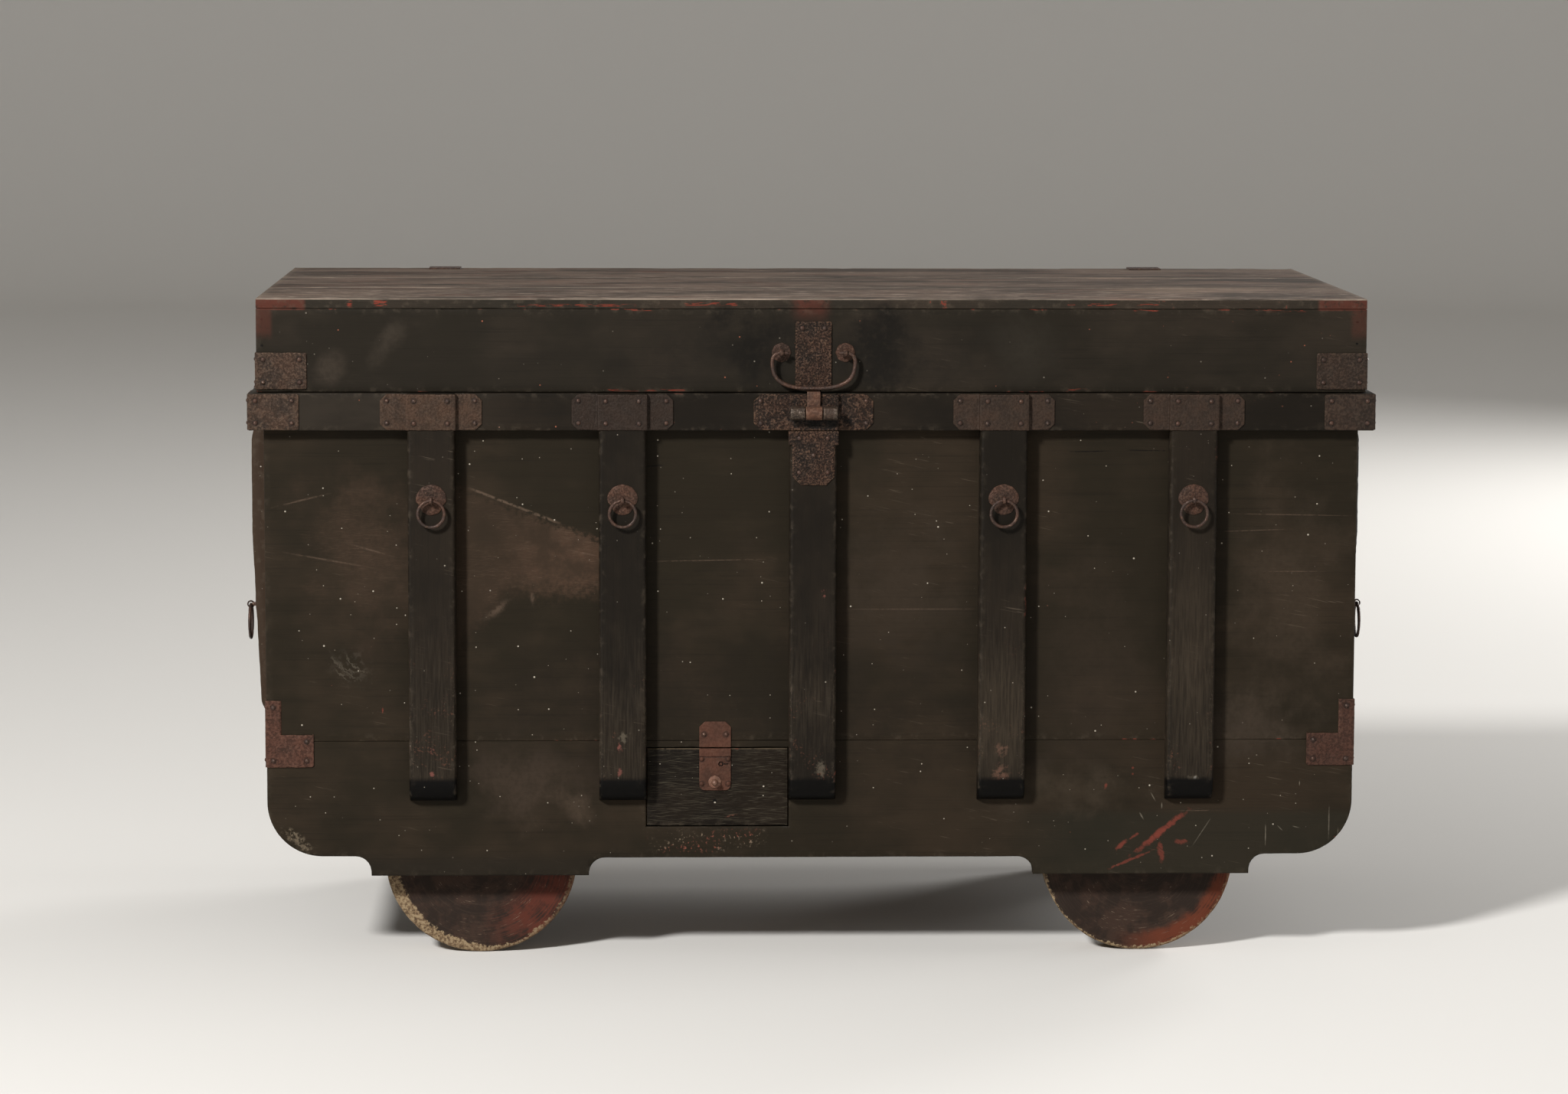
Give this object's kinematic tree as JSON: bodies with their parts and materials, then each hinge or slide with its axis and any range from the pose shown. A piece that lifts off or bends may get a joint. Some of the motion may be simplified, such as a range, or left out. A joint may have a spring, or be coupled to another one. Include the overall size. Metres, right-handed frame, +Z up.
{
  "type": "wheeled trunk",
  "caption": "Wooden trunk on four wooden wheels, with iron straps, a hinged lid with a bail handle, ring pulls and a small locking drawer.",
  "frame": {"origin": "on the floor, under the middle of the whole trunk's box", "axes": "+X to the right along the front, +Y to the back, +Z up"},
  "size_m": [1.673, 0.8412, 0.9655],
  "materials": {
    "lacquered_wood": "worn dark lacquer",
    "black_lacquer": "worn black lacquer",
    "weathered_wood": "grey weathered lacquer",
    "bare_wood": "bare and aged",
    "wheel_wood": "worn, with old red paint",
    "pitted_iron": "rusted and pitted",
    "reddened_iron": "red-brown, thinly rusted",
    "plain_iron": "dark, worn"
  },
  "bodies": {
    "trunk": {"front_upper_board": "lacquered_wood", "front_lower_board": "lacquered_wood", "back_upper_board": "lacquered_wood", "back_lower_board": "lacquered_wood", "side_boards": "lacquered_wood", "end_sills": "lacquered_wood", "floor_board": "bare_wood", "front_rail": "black_lacquer", "back_rail": "black_lacquer", "side_rails": "black_lacquer", "front_stiles": "black_lacquer", "back_stiles": "black_lacquer", "side_stiles": "black_lacquer", "rim_strips": "bare_wood", "rail_plates": "pitted_iron", "corner_brackets": "reddened_iron", "trunk_nails": "pitted_iron", "latch_plate": "pitted_iron", "latch_leg_plate": "pitted_iron", "ring_backplates": "pitted_iron", "ring_eyes": "pitted_iron", "axles": "plain_iron", "axle_blocks": "bare_wood", "axle_collars": "plain_iron", "drawer_runners": "bare_wood", "strike_plate": "reddened_iron", "trunk_hinge_leaves": "pitted_iron", "hinge_pins": "plain_iron"},
    "lid": {"lid_top_boards": "weathered_wood", "lid_front_board": "lacquered_wood", "lid_back_board": "lacquered_wood", "lid_end_boards": "lacquered_wood", "lid_battens": "bare_wood", "lid_corner_plates": "pitted_iron", "lid_strap": "pitted_iron", "lid_latch_eye": "pitted_iron", "lid_nails": "pitted_iron", "bail_posts": "pitted_iron", "lid_hinge_straps": "pitted_iron"},
    "bail": {"bail_handle": "pitted_iron"},
    "drawer": {"drawer_front": "lacquered_wood", "drawer_walls": "bare_wood", "drawer_base": "bare_wood", "drawer_lock_plate": "reddened_iron", "drawer_lock_case": "plain_iron", "drawer_knob": "reddened_iron", "drawer_nails": "reddened_iron"},
    "lock_bolt": {"drawer_lock_bolt": "plain_iron"},
    "wheel_front_left": {"wheel_front_left": "wheel_wood"},
    "wheel_back_left": {"wheel_back_left": "wheel_wood"},
    "wheel_front_right": {"wheel_front_right": "wheel_wood"},
    "wheel_back_right": {"wheel_back_right": "wheel_wood"},
    "ring_front_far_left": {"ring_front_far_left": "pitted_iron"},
    "ring_front_left": {"ring_front_left": "pitted_iron"},
    "ring_front_right": {"ring_front_right": "pitted_iron"},
    "ring_front_far_right": {"ring_front_far_right": "pitted_iron"},
    "ring_left_front": {"ring_left_front": "pitted_iron"},
    "ring_left_back": {"ring_left_back": "pitted_iron"},
    "ring_right_front": {"ring_right_front": "pitted_iron"},
    "ring_right_back": {"ring_right_back": "pitted_iron"}
  },
  "joints": [
    {"name": "lid_hinge", "type": "hinge", "parent": "trunk", "child": "lid", "pos_m": [0, 0.40446, 0.8339], "axis": [-1, 0, 0], "range_deg": [0, 105]},
    {"name": "bail_swing", "type": "hinge", "parent": "lid", "child": "bail", "pos_m": [0, -0.39144, 0.886], "axis": [-1, 0, 0], "range_deg": [-4, 140]},
    {"name": "drawer_slide", "type": "slide", "parent": "trunk", "child": "drawer", "axis": [0, -1, 0], "range_m": [0, 0.24]},
    {"name": "lock_bolt_slide", "type": "slide", "parent": "drawer", "child": "lock_bolt", "axis": [0, 0, 1], "range_m": [0, 0.008]},
    {"name": "wheel_front_left_spin", "type": "hinge", "parent": "trunk", "child": "wheel_front_left", "pos_m": [-0.482, -0.29544, 0.14], "axis": [0, 1, 0], "continuous": true},
    {"name": "wheel_back_left_spin", "type": "hinge", "parent": "trunk", "child": "wheel_back_left", "pos_m": [-0.482, 0.31456, 0.14], "axis": [0, 1, 0], "continuous": true},
    {"name": "wheel_front_right_spin", "type": "hinge", "parent": "trunk", "child": "wheel_front_right", "pos_m": [0.482, -0.29544, 0.14], "axis": [0, 1, 0], "continuous": true},
    {"name": "wheel_back_right_spin", "type": "hinge", "parent": "trunk", "child": "wheel_back_right", "pos_m": [0.482, 0.31456, 0.14], "axis": [0, 1, 0], "continuous": true},
    {"name": "ring_front_far_left_swing", "type": "hinge", "parent": "trunk", "child": "ring_front_far_left", "pos_m": [-0.549, -0.40794, 0.675], "axis": [-1, 0, 0], "range_deg": [-5, 150]},
    {"name": "ring_front_left_swing", "type": "hinge", "parent": "trunk", "child": "ring_front_left", "pos_m": [-0.2745, -0.40794, 0.675], "axis": [-1, 0, 0], "range_deg": [-5, 150]},
    {"name": "ring_front_right_swing", "type": "hinge", "parent": "trunk", "child": "ring_front_right", "pos_m": [0.2745, -0.40794, 0.675], "axis": [-1, 0, 0], "range_deg": [-5, 150]},
    {"name": "ring_front_far_right_swing", "type": "hinge", "parent": "trunk", "child": "ring_front_far_right", "pos_m": [0.549, -0.40794, 0.675], "axis": [-1, 0, 0], "range_deg": [-5, 150]},
    {"name": "ring_left_front_swing", "type": "hinge", "parent": "trunk", "child": "ring_left_front", "pos_m": [-0.83063, -0.12769, 0.48992], "axis": [0, 1, 0], "range_deg": [-5, 150]},
    {"name": "ring_left_back_swing", "type": "hinge", "parent": "trunk", "child": "ring_left_back", "pos_m": [-0.83063, 0.14681, 0.48992], "axis": [0, 1, 0], "range_deg": [-5, 150]},
    {"name": "ring_right_front_swing", "type": "hinge", "parent": "trunk", "child": "ring_right_front", "pos_m": [0.83063, -0.12769, 0.48992], "axis": [0, -1, 0], "range_deg": [-5, 150]},
    {"name": "ring_right_back_swing", "type": "hinge", "parent": "trunk", "child": "ring_right_back", "pos_m": [0.83063, 0.14681, 0.48992], "axis": [0, -1, 0], "range_deg": [-5, 150]}
  ]
}
